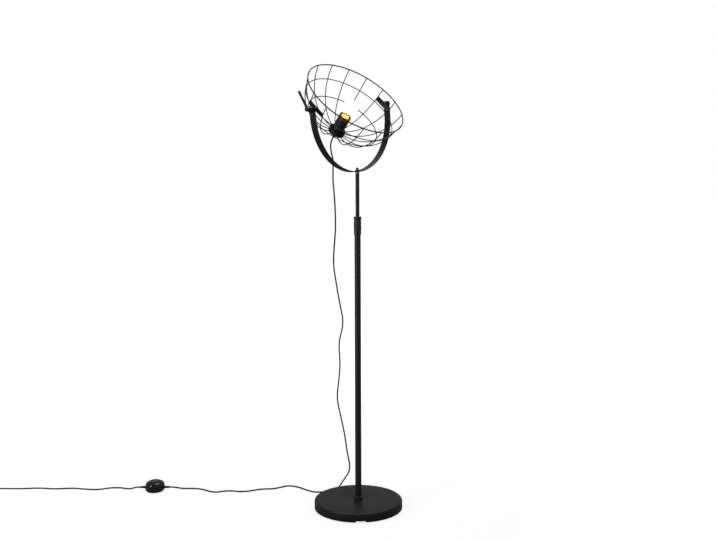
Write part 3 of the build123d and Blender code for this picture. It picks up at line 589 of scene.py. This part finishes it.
footCollar = {"bore": 10.02, "radius": 13.5, "foot": 27, "top": 36, "edge": 1.75}
bm = spun([(footCollar["bore"], footCollar["foot"], 0), (footCollar["radius"], footCollar["foot"], 0.3),
           (footCollar["radius"], footCollar["top"], footCollar["edge"]),
           (footCollar["bore"], footCollar["top"], 0.4)])
addPiece("footCollar", bm, collarPlastic, "stand", stands=["foot_collar"])

# The outline goes up the outside to the flare and down inside, over the collet's cone
twistLock = {"outline": [(10.05, 870, 0.2), (11.1, 870, 0.5), (11.5, 877, 2), (11.5, 919.5, 3),
                         (13, 926.5, 1.2), (13, 929, 0.7), (6.65, 929, 0.5), (6.65, 921.5, 0),
                         (8.2, 921.3, 0), (10.05, 908.3, 0)],
             "ribs": 36, "rib": (0.8, 0.7, 30), "ribPlace": (11.4, 0, 899), "ribEdge": 0.28}
bm = spun(twistLock["outline"], 96)
for k in range(twistLock["ribs"]):
    addBlock(bm, twistLock["rib"], Matrix.Rotation(2 * pi * k / twistLock["ribs"], 4, "Z")
             @ Matrix.Translation(twistLock["ribPlace"]), twistLock["ribEdge"])
addPiece("twistLock", bm, collarPlastic, "lock_collar", stands=["lock_collar"])
print("the poles are turned")


# ---- Yoke: the strip is drawn with its lowest middle point on z = 0 and its pivots along X
strip = {"radius": 177.5, "width": 24, "thickness": 3, "armTop": 217.5, "corner": 3, "edge": 0.45,
         "pivotHole": 8.1, "pivotDrill": 400, "studHole": 6.8, "studDrill": 20}
bm = bmesh.new()
halfWidth, outerFace = strip["width"] / 2, strip["radius"] + strip["thickness"] / 2
innerFace, arm = outerFace - strip["thickness"], strip["armTop"] - strip["radius"]
section = [bm.verts.new((x, y, strip["armTop"])) for x, y in (
    (-outerFace, -halfWidth), (-innerFace, -halfWidth), (-innerFace, halfWidth), (-outerFace, halfWidth))]
lead = [bm.edges.new((a, b)) for a, b in zip(section, section[1:] + section[:1])]
for rise in (-arm, None, arm):
    # Down one arm, round the half circle, and up the other arm
    if rise is None:
        made = bmesh.ops.spin(bm, geom=lead + section, cent=(0, 0, strip["radius"]), axis=(0, 1, 0),
                              dvec=(0, 0, 0), angle=-pi, steps=72)["geom_last"]
    else:
        made = bmesh.ops.extrude_edge_only(bm, edges=lead)["geom"]
        moved = [v for v in made if isinstance(v, bmesh.types.BMVert)]
        bmesh.ops.translate(bm, verts=moved, vec=(0, 0, rise))
        made = moved + [e for e in made if isinstance(e, bmesh.types.BMEdge) and
                        e.verts[0] in moved and e.verts[1] in moved]
    section = [v for v in made if isinstance(v, bmesh.types.BMVert)]
    lead = [e for e in made if isinstance(e, bmesh.types.BMEdge)]
bmesh.ops.holes_fill(bm, edges=bm.edges[:], sides=0)
ends = [e for e in bm.edges if all(abs(v.co.z - strip["armTop"]) < 0.1 for v in e.verts)
        and abs(e.verts[0].co.y - e.verts[1].co.y) < 0.1]
roundOff(bm, ends, strip["corner"], 5)
bmesh.ops.recalc_face_normals(bm, faces=bm.faces[:])
yoke = addPiece("yokeStrip", bm, yokePaint, "yoke", yokePlace, ["yoke"])
bm = bmesh.new()
addRod(bm, strip["pivotHole"] / 2, strip["pivotDrill"],
       Matrix.Translation((0, 0, pose["pivot"])) @ Matrix.Rotation(pi / 2, 4, "Y"))
addRod(bm, strip["studHole"] / 2, strip["studDrill"], Matrix.Rotation(radians(-pose["lean"]), 4, "Y"))
cut(yoke, bm, yokePlace)
soften(yoke, strip["edge"])


def capNut(name, size, place, body, node):
    # A cold formed hexagon and its dome, drawn as shares of the dome's height
    bm = bmesh.new()
    across, height, dome = size["flats"] / 2, size["height"], size["dome"]
    addRod(bm, size["flats"] / sqrt(3), height, Matrix.Translation((0, 0, height / 2)), 6)
    roundOff(bm, bm.edges[:], 0.5, 2)
    addShape(bm, spun([(across - 0.3, height - 0.6, 0), (across - 0.4, height + dome * 0.55, dome * 0.3),
                       (across / 2, height + dome * 0.97, dome * 0.25), (0, height + dome, 0)], 48))
    return addPiece(name, bm, blackNickel, body, place, [node], 30)


yokeNut = {"flats": 10, "height": 4, "dome": 4, "seat": 1078}
capNut("yokeNut", yokeNut, Matrix.Translation((0, 0, yokeNut["seat"] * mm)), "yoke", "yoke_cap_nut")
pivotNut = {"flats": 13, "height": 7, "dome": 5, "seat": 180.08}
capNut("pivotNut", pivotNut, cagePlace @ Matrix.Translation((pivotNut["seat"] * mm, 0, 0))
       @ Matrix.Rotation(pi / 2, 4, "Y"), "cage", "pivot_nut")
print("the yoke is bent")


# ---- Bowl of welded wire, with the pivots along X and the opening up Z
# Heights are from the pivot's line; the rings lie inside the ribs on a smaller sphere
bowl = {"radius": 169, "centre": 52.5, "rimHeight": 35, "rimWire": 2, "wire": 1.5, "ringSphere": 165.95,
        "rings": {"upperRing": -10.84, "lowerRing": -58.95}, "ribTop": 32.75, "knee": -61,
        "ribEnd": (28.05, -104.07), "ribs": 16}


def radiusAt(height, sphere):
    return sqrt(sphere ** 2 - (height - bowl["centre"]) ** 2)


def wireRing(name, radius, height, wire, node):
    bm = bmesh.new()
    section = Matrix.Translation((radius, 0, height)) @ Matrix.Rotation(pi / 2, 4, "X")
    bmesh.ops.create_circle(bm, segments=14, radius=wire, matrix=section)
    turnRound(bm, 144)
    return addPiece(name, bm, wirePaint, "cage", cagePlace, [node])


wireRing("rimWire", radiusAt(bowl["rimHeight"], bowl["radius"]), bowl["rimHeight"], bowl["rimWire"],
         "cage_rim")
for name, node in (("upperRing", "cage_upper_ring"), ("lowerRing", "cage_lower_ring")):
    height = bowl["rings"][name]
    wireRing(name, radiusAt(height, bowl["ringSphere"]), height, bowl["wire"], node)

# One rib along the sphere to the knee, then along a tighter arc to the cup, and the others turned from it
startAngle = asin((bowl["ribTop"] - bowl["centre"]) / bowl["radius"])
kneeAngle = asin((bowl["knee"] - bowl["centre"]) / bowl["radius"])
tightRadius = (radiusAt(bowl["knee"], bowl["radius"]) - bowl["ribEnd"][0]) / cos(kneeAngle)
bm = bmesh.new()
bmesh.ops.create_circle(
    bm, segments=12, radius=bowl["wire"],
    matrix=Matrix.Translation((0, 0, bowl["centre"])) @ Matrix.Rotation(-startAngle, 4, "Y")
    @ Matrix.Translation((bowl["radius"], 0, 0)))
turned = bmesh.ops.spin(bm, geom=bm.verts[:] + bm.edges[:], cent=(0, 0, bowl["centre"]), axis=(0, 1, 0),
                        dvec=(0, 0, 0), angle=startAngle - kneeAngle, steps=24)["geom_last"]
bmesh.ops.spin(bm, geom=turned, cent=(bowl["ribEnd"][0], 0, bowl["ribEnd"][1] + tightRadius),
               axis=(0, 1, 0), dvec=(0, 0, 0), angle=pi / 2 + kneeAngle, steps=26)
bmesh.ops.holes_fill(bm, edges=bm.edges[:], sides=0)
bmesh.ops.recalc_face_normals(bm, faces=bm.faces[:])
bmesh.ops.rotate(bm, verts=bm.verts[:], cent=(0, 0, 0), matrix=Matrix.Rotation(pi / bowl["ribs"], 3, "Z"))
bmesh.ops.spin(bm, geom=bm.verts[:] + bm.edges[:] + bm.faces[:], cent=(0, 0, 0), axis=(0, 0, 1),
               dvec=(0, 0, 0), angle=2 * pi * (bowl["ribs"] - 1) / bowl["ribs"], steps=bowl["ribs"] - 1,
               use_duplicate=True)
addPiece("ribWires", bm, wirePaint, "cage", cagePlace, ["cage_ribs"])


def addBead(bm, place, size):
    # A small flattened bead where wires are spot welded
    bmesh.ops.create_icosphere(bm, subdivisions=2, radius=1, matrix=place @ Matrix.Diagonal((*size, 1)))


# Radius, height, width and depth of the beads on each rib
beads = [(167.9, 33.0, 2.0, 1.2), (154.9, -11.3, 2.1, 1.3), (124.1, -59.9, 2.1, 1.3),
         (28.6, -104.1, 1.9, 1.9)]
bm = bmesh.new()
for radius, height, wide, deep in beads:
    for k in range(bowl["ribs"]):
        addBead(bm, Matrix.Rotation(2 * pi * (k + 0.5) / bowl["ribs"], 4, "Z")
                @ Matrix.Translation((radius, 0, height)), (deep, wide, wide))
addPiece("weldBeads", bm, wirePaint, "cage", cagePlace)

plate = {"width": 16, "length": 65.7, "thickness": 2.5, "turn": 108.1, "reach": 168.87, "edge": 0.5,
         "bead": (2.4, 1.5, 0.9), "beadPlace": (5, 29.65, -1.65)}
along, across, below = plate["beadPlace"]
for side, name in ((-1, "left"), (1, "right")):
    face = (Matrix.Translation((0, 0, bowl["centre"]))
            @ Matrix.Rotation(radians(side * plate["turn"]), 4, "Y")
            @ Matrix.Translation((0, 0, plate["reach"])))
    bm = bmesh.new()
    addBlock(bm, (plate["width"], plate["length"], plate["thickness"]), face, plate["edge"])
    for x in (-along, along):
        for y in (-across, across):
            addBead(bm, face @ Matrix.Translation((x, y, below)), plate["bead"])
    addPiece("pivotPlate" + name.title(), bm, wirePaint, "cage", cagePlace,
             ["pivot_plate_" + name])
print("the bowl is welded")


# ---- Clamp lever, moulded, on the left pivot
# The hub stands on Z. The arm's rows are how far along it a section is, and its share of the root's size.
lever = {"foot": 8.5, "crown": 6.75, "top": 24, "bore": 5.5, "ceiling": 21, "screwHole": 4.05,
         "root": (9.5, 8.4), "arm": [(8, 0.99), (24, 0.9), (44, 0.84), (56, 0.9), (62, 0.94)],
         "tipRounding": 2.6, "rise": 6.06, "armHeight": 17.2}
bm = spun([(lever["bore"], 0, 0), (lever["foot"], 0, 0.6), (lever["crown"], lever["top"], 1.6),
           (lever["screwHole"], lever["top"], 0.4), (lever["screwHole"], lever["ceiling"], 0),
           (lever["bore"], lever["ceiling"], 0)])
leverHandle = addPiece("leverHandle", bm, leverPlastic, "lever", leverPlace,
                       ["lever_handle"])
bm = bmesh.new()
bmesh.ops.create_circle(bm, segments=24, radius=0.5, matrix=Matrix.Diagonal((*lever["root"], 1, 1)))
top = 0
for reach, share in lever["arm"]:
    last = [e for e in bm.edges if all(abs(v.co.z - top) < 0.01 for v in e.verts)]
    made = [v for v in bmesh.ops.extrude_edge_only(bm, edges=last)["geom"]
            if isinstance(v, bmesh.types.BMVert)]
    bmesh.ops.translate(bm, verts=made, vec=(0, 0, reach - top))
    wide = max(v.co.x for v in made)
    bmesh.ops.scale(bm, verts=made, vec=[lever["root"][0] * 0.5 * share / wide] * 2 + [1])
    top = reach
bmesh.ops.holes_fill(bm, edges=bm.edges[:], sides=0)
bmesh.ops.recalc_face_normals(bm, faces=bm.faces[:])
tipRing = [e for e in bm.edges if all(v.co.z > top - 0.1 for v in e.verts)]
roundOff(bm, tipRing, lever["tipRounding"], 6)
cut(leverHandle, bm, leverPlace @ Matrix.Translation((0, 0, lever["armHeight"] * mm))
    @ Matrix.Rotation(radians(90 - lever["rise"]), 4, "Y"), "UNION")
bore = spun([(0, -2, 0), (lever["bore"], -2, 0), (lever["bore"], lever["ceiling"], 0),
             (0, lever["ceiling"], 0)], 32)
cut(leverHandle, bore, leverPlace)

screw = {"radius": 3.95, "bottom": 21, "shoulder": 23.8, "top": 24, "socket": 2.3, "socketLength": 3}
bm = spun([(0, screw["bottom"], 0), (screw["radius"], screw["bottom"], 0.2),
           (screw["radius"], screw["shoulder"], 0.6), (0, screw["top"], 0)], 32)
leverScrew = addPiece("leverScrew", bm, blackNickel, "lever", leverPlace, ["lever_screw"])
bm = bmesh.new()
addRod(bm, screw["socket"], screw["socketLength"], Matrix.Translation((0, 0, screw["top"])), 6)
cut(leverScrew, bm, leverPlace)
print("the lever is moulded")


# ---- Holder and bulb, on the bowl's axis
# Heights here are from the cup's underside
cup = {"radius": 28, "inner": 26.5, "height": 17, "wall": 1.5, "edge": 4, "innerEdge": 2.5, "hole": 5.05}
bm = spun([(cup["hole"], 0, 0.2), (cup["radius"], 0, cup["edge"]), (cup["radius"], cup["height"], 0.5),
           (cup["inner"], cup["height"], 0.4), (cup["inner"], cup["wall"], cup["innerEdge"]),
           (cup["hole"], cup["wall"], 0.2)], 96)
addPiece("holderCup", bm, wirePaint, "cage", holderPlace, ["holder_cup"])

holder = {"radius": 19.75, "inner": 17.35, "bottom": 1.5, "floor": 5.5, "top": 72,
          "grooveRadius": 19.25, "groove": (31.2, 31.6, 32.4, 32.8), "notches": 8, "notch": (8, 4, 5),
          "notchEdge": 0.6}
lip, foot, head, crest = holder["groove"]
bm = spun([(cup["hole"], holder["bottom"], 0.2), (holder["radius"], holder["bottom"], 1),
           (holder["radius"], lip, 0.3), (holder["grooveRadius"], foot, 0.2),
           (holder["grooveRadius"], head, 0.2), (holder["radius"], crest, 0.3),
           (holder["radius"], holder["top"], 0.5), (holder["inner"], holder["top"], 0.5),
           (holder["inner"], holder["floor"], 0.6), (cup["hole"], holder["floor"], 0.2)], 96)
shell = addPiece("holderShell", bm, holderPlastic, "cage", holderPlace, ["holder_shell"])
bm = bmesh.new()
for k in range(holder["notches"]):
    addBlock(bm, holder["notch"], Matrix.Rotation(2 * pi * (k + 0.5) / holder["notches"], 4, "Z")
             @ Matrix.Translation((holder["radius"], 0, holder["top"])), holder["notchEdge"])
cut(shell, bm, holderPlace)


def rolledThread(name, size, finish, node):
    # A wave rolled into thin sheet, one pitch up for each turn
    bm = bmesh.new()
    pitch, rounding, steps = size["pitch"], 0.62, 72
    turns = int((size["top"] - size["bottom"]) / pitch) + 4
    first = size["start"] - 2 * pitch
    crests = [bm.verts.new((size["crest"] if k % 2 else size["root"], 0, first + k * pitch / 2))
              for k in range(2 * turns + 1)]
    for a, b in zip(crests, crests[1:]):
        bm.edges.new((a, b))
    roundOff(bm, crests[1:-1], rounding, 4, "VERTICES")
    bmesh.ops.spin(bm, geom=bm.verts[:] + bm.edges[:], cent=(0, 0, 0), axis=(0, 0, 1),
                   dvec=(0, 0, pitch / steps), angle=2 * pi, steps=steps)
    bmesh.ops.remove_doubles(bm, verts=bm.verts[:], dist=0.01)
    for height, up in ((size["top"], 1), (size["bottom"], -1)):
        bmesh.ops.bisect_plane(bm, geom=bm.verts[:] + bm.edges[:] + bm.faces[:], plane_co=(0, 0, height),
                               plane_no=(0, 0, up), clear_outer=True)
    bmesh.ops.recalc_face_normals(bm, faces=bm.faces[:])
    piece = addPiece(name, bm, finish, "cage", holderPlace, [node], 60)
    thicken(piece, size["sheet"], 0)
    return piece


brassSocket = {"pitch": 3.6, "start": 45, "bottom": 45, "top": 69, "crest": 13.95, "root": 13.1,
               "sheet": 0.35}
rolledThread("brassSocket", brassSocket, brass, "holder_thread")
bulbThread = {"pitch": 3.6, "start": 45, "bottom": 49.5, "top": 70, "crest": 13.05, "root": 12.35,
              "sheet": 0.3}
rolledThread("bulbThread", bulbThread, aluminium, "bulb_cap")

# The cap narrows below its thread to the end contact
bulbEnd = {"skirt": [(12.2, 49.7, 0.2), (12.6, 49.4, 0), (7.2, 46.8, 0.5), (5.2, 47.6, 0.2), (5.2, 48, 0),
                     (12.2, 50, 0)],
           "contact": [(0, 45, 0), (3.2, 45.2, 0.8), (5, 47, 0.5), (5, 48, 0.1), (0, 48, 0)]}
addPiece("bulbSkirt", spun(bulbEnd["skirt"], 48), aluminium, "cage", holderPlace)
addPiece("bulbContact", spun(bulbEnd["contact"], 32), zincSteel, "cage", holderPlace,
         ["bulb_tip"])

bulb = {"globe": 23, "middle": 105, "join": 118, "bend": 2.6, "wall": 1,
        "neck": [(16.4, 87.8), (13.2, 81.5), (12.2, 75), (12.0, 63)]}
bm = bmesh.new()
crown = bm.verts.new((0, 0, bulb["middle"] + bulb["globe"]))
last = bmesh.ops.spin(bm, geom=[crown], cent=(0, 0, bulb["middle"]), axis=(0, 1, 0), dvec=(0, 0, 0),
                      angle=radians(bulb["join"]), steps=36)["geom_last"]
last = [v for v in last if isinstance(v, bmesh.types.BMVert)][0]
bends = []
for radius, height in bulb["neck"]:
    following = bm.verts.new((radius, 0, height))
    bm.edges.new((last, following))
    bends.append(following)
    last = following
roundOff(bm, bends[:-1], bulb["bend"], 6, "VERTICES")
turnRound(bm, 72)
globe = addPiece("bulbGlobe", bm, litGlass, "cage", holderPlace, ["bulb_glass"], 60)
thicken(globe, bulb["wall"], -1)

# The grip hangs under the cup: a ribbed sleeve round the cord, and a hexagon
grip = {"sleeve": [(2.55, -17, 0.3), (4, -17, 0.8), (4.6, -13.6, 0.2), (4.1, -13.2, 0.2), (4.6, -12.8, 0.2),
                   (5.1, -10.4, 0.2), (4.6, -10, 0.2), (5.2, -9.6, 0.2), (5.8, -8, 0.3), (5.8, -6, 0),
                   (2.55, -6, 0)], "flats": 12, "hexagon": 8}
bm = spun(grip["sleeve"], 48)
addRod(bm, grip["flats"] / sqrt(3), grip["hexagon"], Matrix.Translation((0, 0, -grip["hexagon"] / 2)), 6)
addPiece("cordGrip", bm, blackPlastic, "cage", holderPlace, ["cord_grip"])
print("the bulb is in its holder")


# ---- Foot switch: its outlines, with the cord's height and the boots drawn along the cord
switch = {"place": Matrix.Translation((-0.69, 0.162, 0)), "cord": 13,
          "foot": [(0, 0, 0), (31, 0, 8.2), (31, 8.7, 0.3), (27, 8.7, 0), (27, 2, 1), (0, 2, 0)],
          "cover": [(30, 9, 0), (32, 9, 0.5), (32, 33, 13), (18.3, 33, 0.5), (18.3, 31, 0), (30, 31, 11.5)],
          "button": [(0, 25, 0), (18, 25, 0), (18, 35.2, 1.6), (10, 35.9, 3), (0, 36, 0)],
          "boot": [(2.55, 31, 0), (4.5, 31, 0.2), (4.5, 33.5, 0.2), (4.2, 34.4, 0), (3.6, 34.6, 0),
                   (4.2, 36.6, 0.2), (4.2, 38.2, 0.2), (3.4, 38.6, 0), (4.0, 40.4, 0.2), (4.0, 42, 0.2),
                   (3.2, 42.4, 0), (3.7, 44.2, 0.2), (3.7, 45.8, 0.2), (3.1, 46.2, 0), (3.5, 47.6, 0.2),
                   (3.4, 49, 0.4), (2.55, 49, 0)]}
addPiece("switchFoot", spun(switch["foot"], 96), switchPlastic, "stand",
         switch["place"], ["switch_base"])
addPiece("switchCover", spun(switch["cover"], 96), switchPlastic, "stand",
         switch["place"], ["switch_cover"])
addPiece("switchButton", spun(switch["button"], 96), buttonPlastic, "switch_button",
         switch["place"], ["switch_button"])
bm = bmesh.new()
for side in (-1, 1):
    boot = spun(switch["boot"], 40)
    bmesh.ops.transform(boot, matrix=Matrix.Translation((0, 0, switch["cord"]))
                        @ Matrix.Rotation(side * pi / 2, 4, "Y"), verts=boot.verts)
    addShape(bm, boot)
addPiece("switchBoots", bm, blackPlastic, "stand", switch["place"], ["switch_reliefs"])
print("the foot switch is closed")
